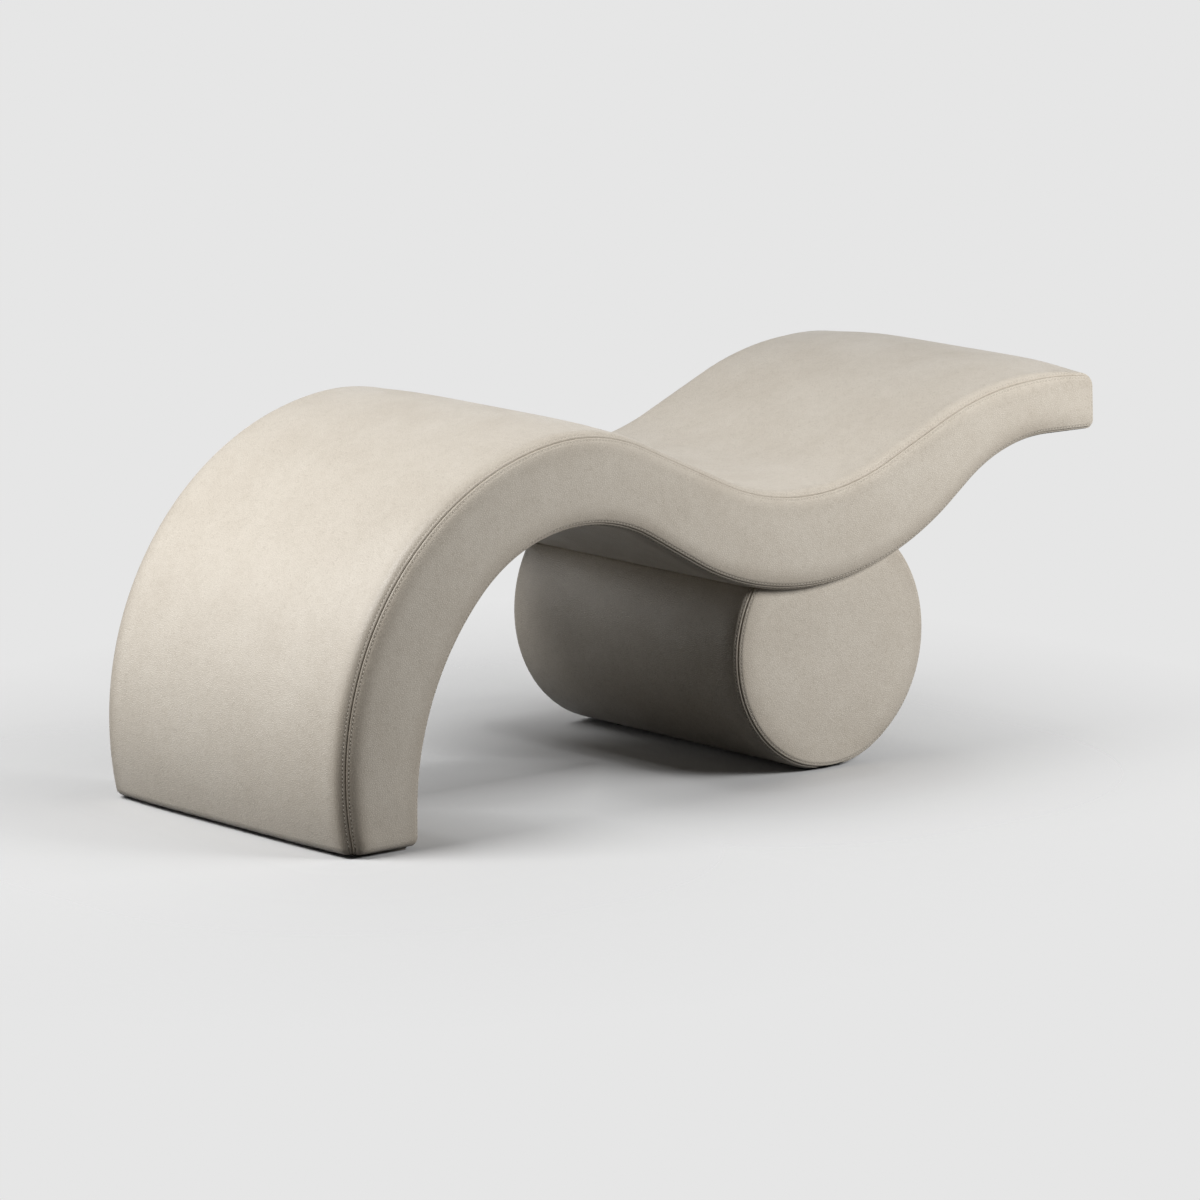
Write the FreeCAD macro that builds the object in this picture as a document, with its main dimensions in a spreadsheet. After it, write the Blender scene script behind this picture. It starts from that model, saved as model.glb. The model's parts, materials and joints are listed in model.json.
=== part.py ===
"""Eyelash extension bed: an S-shaped upholstered lounge on one curved leg and a drum base.

X runs along the bed from the leg to the head, Y across it and Z up. The origin lies on
the floor under the middle of the bed. All lengths are in millimetres.
"""
import FreeCAD
import Part
import Sketcher
import math
import os

# Driving dimensions: alias, number, what it is
SIZES = [
    ("bed_width", 716, "width over the two side panels"),
    ("floor_gap", 6, "height of the upholstery above the floor"),
    ("leg_front", -917, "foremost point of the leg"),
    ("tip_x", 917, "end face of the head"),
    ("heel_height", 144, "height of the foremost point"),
    ("knee_x", -369, "crest of the knee"),
    ("dip_x", 188, "lowest point of the lying surface"),
    ("head_x", 778, "crest of the head"),
    ("dip_floor", 544, "height of the lowest point of the lying surface"),
    ("knee_rise", 167, "knee crest above that point"),
    ("head_rise", 156, "head crest above that point"),
    ("fall_share", 0.865, "share of the fall that arcs take, 1 leaves no straight run"),
    ("knee_share", 0.4525, "share of the fall's arcs that belongs to the knee"),
    ("rise_share", 0.93, "share of the rise that arcs take"),
    ("knee_depth", 180, "thickness of the slab at the knee"),
    ("dip_depth", 190, "thickness of the slab at the dip"),
    ("head_depth", 124, "thickness of the slab at the head"),
    ("leg_depth", 182, "thickness of the leg"),
    ("leg_straight", 70, "height of the straight inner face of the leg"),
    ("arch_shift", 12, "arch crest behind the knee crest"),
    ("seat_shift", 8, "underside's lowest point behind the dip"),
    ("neck_shift", 20, "underside's last bend behind the head crest"),
    ("under_fall_share", 0.952, "share of the underside's fall that arcs take"),
    ("arch_share", 0.354, "share of those arcs that belongs to the arch"),
    ("under_rise_share", 0.993, "share of the underside's rise that arcs take"),
    ("crown", 5, "middle of the lying surface above its edges"),
    ("top_roll", 34, "rounding of the upper edges"),
    ("under_roll", 18, "rounding of the lower edges"),
    ("leather", 1.5, "thickness of the cover"),
    ("layer_gap", 0.3, "clearance between layers"),
    ("top_foam", 40, "foam on the lying surface"),
    ("under_foam", 10, "foam on the underside"),
    ("side_foam", 15, "foam on the side panels"),
    ("end_foam", 25, "foam on the head's end"),
    ("deck_ply", 6, "bent plywood under the lying surface"),
    ("under_ply", 4, "bent plywood on the underside"),
    ("rib_ply", 18, "plywood of ribs, cross panels and discs"),
    ("foot_board", 24, "board in the foot of the leg"),
    ("felt", 1.5, "dust cover under the foot and the base"),
    ("felt_inset", 18, "edge of the foot's dust cover inside the leather"),
    ("mount_block", 55, "height of the blocks that take the base bolts"),
    ("mount_length", 130, "length of those blocks along the bed"),
    ("drum_x", 271, "axis of the drum base, which lies at its radius above the floor"),
    ("drum_radius", 237, "radius of the drum over its cover"),
    ("drum_inset", 31, "distance of the drum's ends from the side panels"),
    ("drum_roll", 18, "rounding of the drum's edges"),
    ("drum_foam", 12, "foam round the drum"),
    ("drum_end_foam", 10, "foam on the drum's ends"),
    ("drum_ply", 5, "bent plywood round the drum"),
    ("saddle_gap", 0.5, "clearance between the wave's underside and the drum"),
    ("saddle_ply", 9, "bent plywood seat on top of the drum"),
    ("stringer_width", 40, "width of the drum's stringers"),
    ("stringer_depth", 25, "depth of the drum's stringers"),
    ("base_board", 18, "thickness of the board under the drum"),
    ("board_tuck", 3, "edges of that board inside the drum's cover at the floor gap"),
    ("bolt_size", 10, "thread of the base bolts"),
    ("bolt_head", 17, "width across the flats of the bolt heads"),
    ("bolt_head_height", 6.5, "height of the bolt heads"),
    ("bolt_play", 0.5, "play of a bolt in its hole"),
    ("bolt_inner", 110, "distance of the inner bolts from the middle"),
    ("bolt_side", 77, "distance of the outer bolts from the drum's ends"),
    ("bolt_end", 16, "length of the bolts above the blocks"),
    ("washer_size", 30, "diameter of the bolt washers"),
    ("washer_height", 2.5, "thickness of the bolt washers"),
    ("sleeve_size", 16, "diameter of the spacer sleeves"),
    ("nut_flange", 26, "diameter of the bolt nuts' flanges"),
    ("nut_height", 8, "height of the bolt nuts"),
    ("foot_size", 28, "diameter of the levelling feet"),
    ("stem_size", 8, "thread of the levelling feet"),
    ("stem_length", 34, "length of the levelling feet's threads above the pads"),
    ("insert_size", 12, "diameter of the threaded inserts"),
    ("insert_height", 13, "height of the threaded inserts"),
    ("insert_play", 0.3, "play of a stem in its insert"),
    ("pad_round", 1.5, "rounding of the levelling feet's lower edges"),
    ("leg_foot_inset", 66, "distance of the leg's feet from its inner face"),
    ("leg_foot_side", 96, "distance of the leg's feet from the side panels"),
    ("base_foot_inset", 20, "distance of the base's feet from the edges of the base board"),
    ("base_foot_side", 92, "distance of the base's feet from the drum's ends"),
]

# Centres and radii that follow from the driving dimensions
CURVE = [
    ("knee_top", "sizes.dip_floor + sizes.knee_rise"),
    ("head_top", "sizes.dip_floor + sizes.head_rise"),
    ("knee_run", "sizes.dip_x - sizes.knee_x"),
    ("head_run", "sizes.head_x - sizes.dip_x"),
    ("fall_radii", "sizes.fall_share * (knee_run^2 + sizes.knee_rise^2) / (2 * sizes.knee_rise)"),
    ("rise_radii", "sizes.rise_share * (head_run^2 + sizes.head_rise^2) / (2 * sizes.head_rise)"),
    ("knee_radius", "sizes.knee_share * fall_radii"),
    ("dip_radius", "fall_radii - knee_radius"),
    ("head_radius", "rise_radii - dip_radius"),
    ("knee_z", "knee_top - knee_radius"),
    ("dip_z", "sizes.dip_floor + dip_radius"),
    ("head_z", "head_top - head_radius"),
    ("heel_reach", "sizes.knee_x - sizes.leg_front"),
    ("heel_lift", "knee_z - sizes.heel_height"),
    ("heel_radius", "(heel_reach^2 + heel_lift^2 - knee_radius^2) / (2 * (heel_reach - knee_radius))"),
    ("heel_x", "sizes.leg_front + heel_radius"),
    ("arch_x", "sizes.knee_x + sizes.arch_shift"),
    ("seat_x", "sizes.dip_x + sizes.seat_shift"),
    ("neck_x", "sizes.head_x + sizes.neck_shift"),
    ("arch_top", "knee_top - sizes.knee_depth"),
    ("seat_floor", "sizes.dip_floor - sizes.dip_depth"),
    ("neck_top", "head_top - sizes.head_depth"),
    ("arch_rise", "arch_top - seat_floor"),
    ("neck_rise", "neck_top - seat_floor"),
    ("arch_run", "seat_x - arch_x"),
    ("neck_run", "neck_x - seat_x"),
    ("under_fall_radii", "sizes.under_fall_share * (arch_run^2 + arch_rise^2) / (2 * arch_rise)"),
    ("under_rise_radii", "sizes.under_rise_share * (neck_run^2 + neck_rise^2) / (2 * neck_rise)"),
    ("arch_radius", "sizes.arch_share * under_fall_radii"),
    ("seat_radius", "under_fall_radii - arch_radius"),
    ("neck_radius", "under_rise_radii - seat_radius"),
    ("arch_z", "arch_top - arch_radius"),
    ("seat_z", "seat_floor + seat_radius"),
    ("neck_z", "neck_top - neck_radius"),
    ("leg_inner", "sizes.leg_front + sizes.leg_depth"),
    ("leg_reach", "arch_x - leg_inner"),
    ("leg_lift", "arch_z - sizes.leg_straight"),
    ("leg_radius", "(leg_reach^2 + leg_lift^2 - arch_radius^2) / (2 * (leg_reach - arch_radius))"),
    ("leg_x", "leg_inner + leg_radius"),
    ("half_width", "sizes.bed_width / 2"),
    ("top_seam", "sizes.top_roll * (1 - sqrt(0.5))"),
    ("under_seam", "sizes.under_roll * (1 - sqrt(0.5))"),
    ("drum_seam", "sizes.drum_roll * (1 - sqrt(0.5))"),
    ("foam_level", "sizes.leather + sizes.layer_gap"),
    ("deck_level", "foam_level + sizes.top_foam + sizes.layer_gap"),
    ("rib_level", "deck_level + sizes.deck_ply + sizes.layer_gap"),
    ("under_deck_level", "foam_level + sizes.under_foam + sizes.layer_gap"),
    ("under_rib_level", "under_deck_level + sizes.under_ply + sizes.layer_gap"),
    ("frame_half", "half_width - foam_level - sizes.side_foam - sizes.layer_gap"),
    ("frame_end", "sizes.tip_x - foam_level - sizes.end_foam - sizes.layer_gap"),
    ("board_level", "sizes.floor_gap + sizes.felt + sizes.layer_gap"),
    ("foot_board_top", "board_level + sizes.foot_board"),
    ("base_board_top", "board_level + sizes.base_board"),
    ("drum_length", "sizes.bed_width - 2 * sizes.drum_inset"),
    ("drum_half", "drum_length / 2"),
    ("drum_end_seam", "drum_half - drum_seam"),
    ("drum_low", "sizes.drum_radius - sizes.floor_gap"),
    ("board_half", "sqrt(sizes.drum_radius^2 - drum_low^2) - sizes.board_tuck"),
    ("base_foot_x", "board_half - sizes.base_foot_inset"),
    ("drum_skin", "sizes.drum_radius - foam_level - sizes.drum_foam - sizes.layer_gap"),
    ("disc_radius", "drum_skin - sizes.drum_ply - sizes.layer_gap"),
    ("disc_half", "drum_half - foam_level - sizes.drum_end_foam - sizes.layer_gap"),
    ("saddle_top", "seat_floor - sizes.saddle_gap"),
    ("saddle_bottom", "saddle_top - sizes.saddle_ply"),
    ("block_top", "seat_floor + under_rib_level + sizes.mount_block"),
    ("bolt_hole", "sizes.bolt_size + 2 * sizes.bolt_play"),
    ("sleeve_hole", "sizes.sleeve_size + 2 * sizes.layer_gap"),
    ("sleeve_length", "under_deck_level - 2 * sizes.layer_gap + sizes.saddle_gap"),
    ("bolt_outer", "drum_half - sizes.bolt_side"),
    ("stem_hole", "sizes.stem_size + 2 * sizes.insert_play"),
    ("insert_hole", "sizes.insert_size + 2 * sizes.layer_gap"),
    ("leg_foot_x", "leg_inner - sizes.leg_foot_inset"),
    ("leg_foot_y", "half_width - sizes.leg_foot_side"),
    ("base_foot_y", "drum_half - sizes.base_foot_side"),
]

doc = FreeCAD.newDocument("LashBed")


def fill_sheet(name, rows):
    """Write rows of alias, text and note into a new sheet."""
    sheet = doc.addObject("Spreadsheet::Sheet", name)
    for row, (alias, text, note) in enumerate(rows, 1):
        sheet.set(f"A{row}", note)
        sheet.set(f"B{row}", text)
        sheet.setAlias(f"B{row}", alias)
    doc.recompute()
    return sheet


sizes = fill_sheet("sizes", [(alias, str(number), note) for alias, number, note in SIZES])
fill_sheet("curve", [(alias, "=" + text, alias.replace("_", " ")) for alias, text in CURVE])


def number(text):
    """The present value of a formula over the two sheets."""
    return float(sizes.evalExpression(text))


def bind(item, **formulas):
    """Tie properties of a document object to formulas over the sheets."""
    for name, text in formulas.items():
        item.setExpression(name.replace("__", "."), text)
    return item


# Curves of the wave: each bend is a circle with a centre; the sign says whether its
# radius shrinks or grows when the curve moves into the slab. None is a straight run.
BENDS = {
    "heel": ("curve.heel_x", "sizes.heel_height", "curve.heel_radius", -1),
    "knee": ("sizes.knee_x", "curve.knee_z", "curve.knee_radius", -1),
    "dip": ("sizes.dip_x", "curve.dip_z", "curve.dip_radius", 1),
    "head": ("sizes.head_x", "curve.head_z", "curve.head_radius", -1),
    "leg": ("curve.leg_x", "sizes.leg_straight", "curve.leg_radius", 1),
    "arch": ("curve.arch_x", "curve.arch_z", "curve.arch_radius", 1),
    "seat": ("curve.seat_x", "curve.seat_z", "curve.seat_radius", -1),
    "neck": ("curve.neck_x", "curve.neck_z", "curve.neck_radius", 1),
}
TOP = ("heel", "knee", None, "dip", None, "head")
UNDER = (None, "leg", "arch", None, "seat", None, "neck", None)
HOLLOWS = ("dip", "seat")


def bend(name, depth):
    """Centre and radius of one bend, moved into the slab by depth."""
    x, z, radius, sign = BENDS[name]
    return FreeCAD.Vector(number(x), number(z), 0), number(radius) + sign * depth


def crossing(first, second):
    """The straight run that touches two bends which curve opposite ways."""
    (start, start_radius), (end, end_radius) = first[1], second[1]
    side = 1 if second[0] in HOLLOWS else -1
    way = end - start
    slope = math.atan2(way.y, way.x) - side * math.asin((start_radius + end_radius) / way.Length)
    normal = FreeCAD.Vector(-math.sin(slope), math.cos(slope), 0) * side
    return start + normal * start_radius, end - normal * end_radius


def touching(first, second):
    """The point where one bend hands over to a tighter one inside it."""
    (start, _), (end, end_radius) = first[1], second[1]
    way = end - start
    return end + way * (end_radius / way.Length)


def chain_points(names, depth, foot, end):
    """The points where the pieces of a chain meet, from the foot to the head."""
    bends = [name and (name, bend(name, depth)) for name in names]
    points = []
    if bends[0]:
        centre, radius = bends[0][1]
        points.append(FreeCAD.Vector(centre.x - math.sqrt(radius ** 2 - (foot - centre.y) ** 2), foot, 0))
    else:
        centre, radius = bends[1][1]
        points.append(FreeCAD.Vector(centre.x - radius, foot, 0))
        points.append(FreeCAD.Vector(centre.x - radius, centre.y, 0))
    for place in range(1, len(bends)):
        before, here = bends[place - 1], bends[place]
        if before and here:
            points.append(touching(before, here))
        elif before and place + 1 < len(bends):
            points.extend(crossing(before, bends[place + 1]))
    if bends[-1]:
        centre, radius = bends[-1][1]
        points.append(FreeCAD.Vector(end, centre.y + math.sqrt(radius ** 2 - (end - centre.x) ** 2), 0))
    else:
        centre, radius = bends[-2][1]
        points.append(FreeCAD.Vector(centre.x, centre.y + radius, 0))
        points.append(FreeCAD.Vector(end, centre.y + radius, 0))
    return points


def tie(sketch, kind, *places, to):
    """Add a constraint whose value follows a formula."""
    index = sketch.addConstraint(Sketcher.Constraint(kind, *places, number(to)))
    sketch.setExpression(f"Constraints[{index}]", to)


def add_chain(sketch, names, depth, foot, end):
    """Draw one curve of the wave at a depth; returns its two open ends."""
    points = chain_points(names, number(depth), number(foot), number(end))
    pieces = []
    for name, start, stop in zip(names, points, points[1:]):
        if name is None:
            pieces.append((sketch.addGeometry(Part.LineSegment(start, stop)), 1, 2))
            continue
        centre, radius = bend(name, number(depth))
        ends = [math.atan2(point.y - centre.y, point.x - centre.x) for point in (start, stop)]
        entry, leave = (1, 2) if name in HOLLOWS else (2, 1)
        if entry == 2:
            ends.reverse()
        circle = Part.Circle(centre, FreeCAD.Vector(0, 0, 1), radius)
        arc = sketch.addGeometry(Part.ArcOfCircle(circle, *ends))
        pieces.append((arc, entry, leave))
        x, z, radius_text, sign = BENDS[name]
        tie(sketch, "DistanceX", -1, 1, arc, 3, to=x)
        tie(sketch, "DistanceY", -1, 1, arc, 3, to=z)
        if name not in ("heel", "leg"):
            tie(sketch, "Radius", arc, to=f"{radius_text} + {sign} * ({depth})")
    for (before, _, leave), (here, entry, _) in zip(pieces, pieces[1:]):
        sketch.addConstraint(Sketcher.Constraint("Tangent", before, leave, here, entry))
    first, last = pieces[0], pieces[-1]
    if names[0] is None:
        sketch.addConstraint(Sketcher.Constraint("Vertical", first[0]))
    if names[-1] is None:
        sketch.addConstraint(Sketcher.Constraint("Horizontal", last[0]))
    tie(sketch, "DistanceY", -1, 1, first[0], first[1], to=foot)
    tie(sketch, "DistanceX", -1, 1, last[0], last[2], to=end)
    return (first[0], first[1], points[0]), (last[0], last[2], points[-1])


def new_body(name):
    body = doc.addObject("PartDesign::Body", name)
    body.Label = name
    return body


def new_sketch(body, name, plane, lift="0"):
    """A sketch on one of the body's own origin planes, lifted along its normal."""
    sketch = body.newObject("Sketcher::SketchObject", name)
    origin = [item for item in body.Origin.OriginFeatures if item.Role == plane]
    sketch.AttachmentSupport = [(origin[0], "")]
    sketch.MapMode = "FlatFace"
    return bind(sketch, AttachmentOffset__Base__z=lift)


def wave_sketch(body, name, first, second, foot, end, lift="0"):
    """A closed outline between two curves of the wave, each given with its depth."""
    sketch = new_sketch(body, name, "XZ_Plane", lift)
    starts, stops = zip(*[add_chain(sketch, names, depth, foot, end) for names, depth in (first, second)])
    for (one, one_end, one_point), (two, two_end, two_point) in (starts, stops):
        line = sketch.addGeometry(Part.LineSegment(one_point, two_point))
        sketch.addConstraint(Sketcher.Constraint("Coincident", line, 1, one, one_end))
        sketch.addConstraint(Sketcher.Constraint("Coincident", line, 2, two, two_end))
    return sketch


def pad(body, sketch, length):
    """Pad a sketch by equal amounts to both sides of its plane."""
    feature = body.newObject("PartDesign::Pad", "Pad")
    feature.Profile = sketch
    feature.SideType = "Symmetric"
    bind(feature, Length=length)
    doc.recompute()
    return feature


def wave_pad(name, first, second, foot, end, width, shift="0"):
    """A slab of the wave between two depths, padded across the bed."""
    body = new_body(name)
    pad(body, wave_sketch(body, "Outline", first, second, foot, end), width)
    return bind(body, Placement__Base__y=shift)


TOUCH = 0.01


def edges_along(shape, guides):
    """Names of the edges that lie on any of the guide edges."""
    found = []
    for index, edge in enumerate(shape.Edges, 1):
        middle = Part.Vertex(edge.valueAt((edge.FirstParameter + edge.LastParameter) / 2))
        if any(middle.distToShape(guide)[0] < TOUCH for guide in guides):
            found.append(f"Edge{index}")
    return found


def round_edges(body, guides, radius):
    base = body.Tip
    feature = body.newObject("PartDesign::Fillet", "Roll")
    feature.Base = (base, edges_along(base.Shape, guides))
    bind(feature, Radius=radius)
    doc.recompute()


def placed(sketch, index):
    """One piece of a sketch where it lies in space."""
    edge = sketch.Geometry[index].toShape()
    edge.Placement = sketch.Placement
    return edge


def wave_form(name, depth, foot="sizes.floor_gap"):
    """The whole upholstered wave, shrunk by depth: crowned top and rolled edges."""
    body = new_body(name)
    half = f"curve.half_width - ({depth})"
    end = f"sizes.tip_x - ({depth})"
    sections = []
    for lift, crown in ((f"-({half})", "sizes.crown"), ("0", "0"), (half, "sizes.crown")):
        first = (TOP, f"{crown} + {depth}")
        sections.append(wave_sketch(body, "Section", first, (UNDER, depth), foot, end, lift))
    doc.recompute()
    loft = body.newObject("PartDesign::AdditiveLoft", "Slab")
    loft.Profile = sections[0]
    loft.Sections = sections[1:]
    doc.recompute()
    pieces = len(TOP) + len(UNDER)
    upper_end, lower_end = placed(sections[1], pieces + 1).Vertexes
    sides = (sections[0], sections[2])
    upper = [placed(side, index) for side in sides for index in range(len(TOP))]
    lower = [placed(side, index) for side in sides for index in range(len(TOP), pieces)]
    round_edges(body, upper + [upper_end], f"sizes.top_roll - ({depth})")
    round_edges(body, lower + [lower_end], f"sizes.under_roll - ({depth})")
    return body


def drum_pad(name, radius, length, roll=None, shift="0"):
    """A round slice of the drum about its axis, with rolled ends where asked."""
    body = new_body(name)
    sketch = new_sketch(body, "Circle", "XZ_Plane")
    middle = FreeCAD.Vector(number("sizes.drum_x"), number("sizes.drum_radius"), 0)
    circle = sketch.addGeometry(Part.Circle(middle, FreeCAD.Vector(0, 0, 1), number(radius)))
    tie(sketch, "DistanceX", -1, 1, circle, 3, to="sizes.drum_x")
    tie(sketch, "DistanceY", -1, 1, circle, 3, to="sizes.drum_radius")
    tie(sketch, "Radius", circle, to=radius)
    feature = pad(body, sketch, length)
    if roll:
        rims = [edge for edge in feature.Shape.Edges if edge.isClosed()]
        round_edges(body, rims, roll)
    return bind(body, Placement__Base__y=shift)


def block(name, x, y, z):
    """A box between pairs of formulas."""
    box = doc.addObject("Part::Box", name)
    bind(box, Length=f"({x[1]}) - ({x[0]})", Width=f"({y[1]}) - ({y[0]})", Height=f"({z[1]}) - ({z[0]})")
    return bind(box, Placement__Base__x=x[0], Placement__Base__y=y[0], Placement__Base__z=z[0])


def upright(name, diameter, height, x, y, z):
    """A cylinder that stands at x and y from the height z."""
    rod = doc.addObject("Part::Cylinder", name)
    bind(rod, Radius=f"({diameter}) / 2", Height=height)
    return bind(rod, Placement__Base__x=x, Placement__Base__y=y, Placement__Base__z=z)


def boolean(kind, name, base, tool):
    result = doc.addObject(f"Part::{kind}", name)
    result.Base = base
    result.Tool = tool
    result.Label = name
    doc.recompute()
    return result


def common(name, base, tool):
    return boolean("Common", name, base, tool)


def cut(name, base, tool):
    return boolean("Cut", name, base, tool)


def fuse(name, items):
    result = doc.addObject("Part::MultiFuse", name)
    result.Shapes = items
    doc.recompute()
    return result


def group(name, items):
    result = doc.addObject("Part::Compound", name)
    result.Links = items
    result.Label = name
    doc.recompute()
    return result


SIDES = (("left", 1), ("right", -1))
WIDE = "sizes.bed_width"
LONG = ("sizes.leg_front - sizes.bed_width", "sizes.tip_x + sizes.bed_width")
TALL = ("-sizes.bed_width", "2 * sizes.bed_width")
CORE_FOOT = "curve.foot_board_top + sizes.layer_gap"
RIB_END = "curve.frame_end - sizes.rib_ply - sizes.layer_gap"
FRAME_WIDTH = "2 * curve.frame_half"
nodes = []


def across(side, inner, outer):
    """A range of Y on one side of the bed."""
    return (inner, outer) if side > 0 else (f"-({outer})", f"-({inner})")


# Places of the base bolts and of the levelling feet
BOLTS = [f"{sign} * {row}" for row in ("sizes.bolt_inner", "curve.bolt_outer") for sign in (1, -1)]
FEET = {}
for word, sign in SIDES:
    FEET[f"leg_foot_{word}"] = ("curve.leg_foot_x", f"{sign} * curve.leg_foot_y")
    for place, way in (("front", -1), ("back", 1)):
        x = f"sizes.drum_x + {way} * curve.base_foot_x"
        FEET[f"base_foot_{place}_{word}"] = (x, f"{sign} * curve.base_foot_y")


def bolt_rods(name, diameter, start, stop):
    """One upright cylinder at each base bolt."""
    return [upright(name, diameter, f"({stop}) - ({start})", "curve.seat_x", y, start) for y in BOLTS]


def foot_rods(name, diameter, start, stop):
    """One upright cylinder at each levelling foot."""
    return [upright(name, diameter, f"({stop}) - ({start})", x, y, start) for x, y in FEET.values()]


BOLT_RISE = ("curve.saddle_bottom - sizes.washer_size", "curve.block_top + sizes.washer_size")
FOOT_RISE = ("0", "curve.foot_board_top + sizes.stem_length")
bolt_holes = group("bolt_holes", bolt_rods("bolt_hole", "curve.bolt_hole", *BOLT_RISE))
sleeve_holes = group("sleeve_holes", bolt_rods("sleeve_hole", "curve.sleeve_hole", *BOLT_RISE))
stem_holes = group("stem_holes", foot_rods("stem_hole", "curve.stem_hole", *FOOT_RISE))
insert_holes = group("insert_holes", foot_rods("insert_hole", "curve.insert_hole", *FOOT_RISE))

# Wave frame: three ribs, cross panels, bent decks and boards
rib_core = ((TOP, "curve.rib_level"), (UNDER, "curve.under_rib_level"))
for word, shift in (("left", 1), ("centre", 0), ("right", -1)):
    place = f"{shift} * (curve.frame_half - sizes.rib_ply / 2)"
    nodes.append(wave_pad(f"rib_{word}", *rib_core, CORE_FOOT, RIB_END, "sizes.rib_ply", place))

# Cross panels stand square to a bend, each in a direction from its centre in degrees
STATIONS = [("heel", 168), ("heel", 146), ("heel", 124), ("heel", 104), ("knee", 72),
            ("dip", 246), ("dip", 288), ("head", 113), ("head", 94)]
core = wave_pad("frame_core", *rib_core, CORE_FOOT, RIB_END, FRAME_WIDTH)
plates = []
bay = ("sizes.rib_ply / 2 + sizes.layer_gap", "curve.frame_half - sizes.rib_ply - sizes.layer_gap")
for name, angle in STATIONS:
    x, z, radius, sign = BENDS[name]
    reach = f"{radius} - sizes.leather" if name in HOLLOWS else f"{radius} - sizes.dip_depth"
    turn = f"{angle} deg"
    for word, side in SIDES:
        y = across(side, *bay)
        plate = block("plate", ("0", "sizes.rib_ply"), y, ("0", "sizes.dip_depth + sizes.leather"))
        plate.Placement.Rotation = FreeCAD.Rotation(FreeCAD.Vector(0, 1, 0), 90 - angle)
        bind(plate, Placement__Base__x=f"{x} + ({reach}) * cos({turn}) - sizes.rib_ply / 2 * sin({turn})",
             Placement__Base__z=f"{z} + ({reach}) * sin({turn}) + sizes.rib_ply / 2 * cos({turn})")
        plates.append(plate)
nodes.append(common("cross_panels", core, group("plates", plates)))

deck_back = "curve.deck_level + sizes.deck_ply"
nodes.append(wave_pad("deck_top", (TOP, "curve.deck_level"), (TOP, deck_back), "curve.board_level",
                      "curve.frame_end", FRAME_WIDTH))
under_back = "curve.under_deck_level + sizes.under_ply"
deck = wave_pad("deck_under_sheet", (UNDER, "curve.under_deck_level"), (UNDER, under_back),
                "curve.board_level", "curve.frame_end", FRAME_WIDTH)
nodes.append(cut("deck_under", deck, bolt_holes))

shell = wave_pad("frame_shell", *rib_core, "curve.board_level", "curve.frame_end", FRAME_WIDTH)
foot_range = block("foot_range", LONG, (f"-{WIDE}", WIDE), ("curve.board_level", "curve.foot_board_top"))
foot_board = common("foot_board_blank", shell, foot_range)
nodes.append(cut("foot_board", foot_board, insert_holes))
end_x = ("curve.frame_end - sizes.rib_ply", "curve.frame_end")
end_range = block("end_range", end_x, (f"-{WIDE}", WIDE), TALL)
nodes.append(common("head_end_board", shell, end_range))

mounts = []
mount_x = ("curve.seat_x - sizes.mount_length / 2", "curve.seat_x + sizes.mount_length / 2")
for word, side in SIDES:
    mounts.append(block("mount", mount_x, across(side, *bay), ("curve.seat_floor", "curve.block_top")))
mount_blocks = common("mount_blanks", core, group("mounts", mounts))
nodes.append(cut("mount_blocks", mount_blocks, bolt_holes))

# Wave foam: sheets glued round the frame
foam_form = wave_form("foam_form", "curve.foam_level")
outside = "-sizes.leather"
end = "sizes.tip_x + sizes.leather"
top_range = wave_pad("top_range", (TOP, outside), (TOP, "curve.deck_level - sizes.layer_gap"),
                     "curve.board_level", end, WIDE)
nodes.append(common("foam_top", foam_form, top_range))
under_range = wave_pad("under_range", (UNDER, outside), (UNDER, "curve.under_deck_level - sizes.layer_gap"),
                       "curve.board_level", "curve.frame_end", FRAME_WIDTH)
foam_under = common("foam_under_sheet", foam_form, under_range)
nodes.append(cut("foam_under", foam_under, sleeve_holes))
for word, side in SIDES:
    place = f"{side} * (curve.half_width - curve.foam_level)"
    side_range = wave_pad(f"side_range_{word}", (TOP, "curve.deck_level"), (UNDER, outside),
                          "curve.board_level", "curve.frame_end", "2 * sizes.side_foam", place)
    nodes.append(common(f"foam_side_{word}", foam_form, side_range))
below_top = wave_pad("below_top", (TOP, "curve.deck_level"), (UNDER, outside), "curve.board_level", end, WIDE)
head_range = block("head_range", ("curve.frame_end + sizes.layer_gap", end), (f"-{WIDE}", WIDE), TALL)
nodes.append(common("foam_head_end", common("foam_below_top", foam_form, below_top), head_range))

# Wave covers: two side panels sewn to a top panel and an underside panel
cover_form = wave_form("cover_form", "0")
lining_form = wave_form("lining_form", "sizes.leather", "sizes.floor_gap - sizes.felt")
cover = cut("cover_shell", cover_form, lining_form)
seam = "curve.half_width - curve.top_seam"
for word, side in SIDES:
    panel_range = block(f"panel_range_{word}", LONG, across(side, seam, WIDE), TALL)
    nodes.append(common(f"cover_side_{word}", cover, panel_range))
middle = common("cover_middle", cover, block("middle_range", LONG, (f"-({seam})", seam), TALL))
strip = wave_pad("under_strip", (UNDER, outside), (UNDER, "curve.under_seam"),
                 "sizes.floor_gap - sizes.felt", end, WIDE)
nodes.append(cut("cover_top", middle, strip))
nodes.append(cut("cover_underside", common("cover_under_sheet", middle, strip), sleeve_holes))
felt_z = ("sizes.floor_gap", "sizes.floor_gap + sizes.felt")
felt_form = wave_pad("felt_form", (TOP, "sizes.felt_inset"), (UNDER, "sizes.felt_inset"), "sizes.floor_gap",
                     "curve.frame_end", "sizes.bed_width - 2 * sizes.felt_inset")
felt_range = block("felt_range", LONG, (f"-{WIDE}", WIDE), felt_z)
nodes.append(cut("foot_dust_cover", common("foot_felt", felt_form, felt_range), stem_holes))

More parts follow.
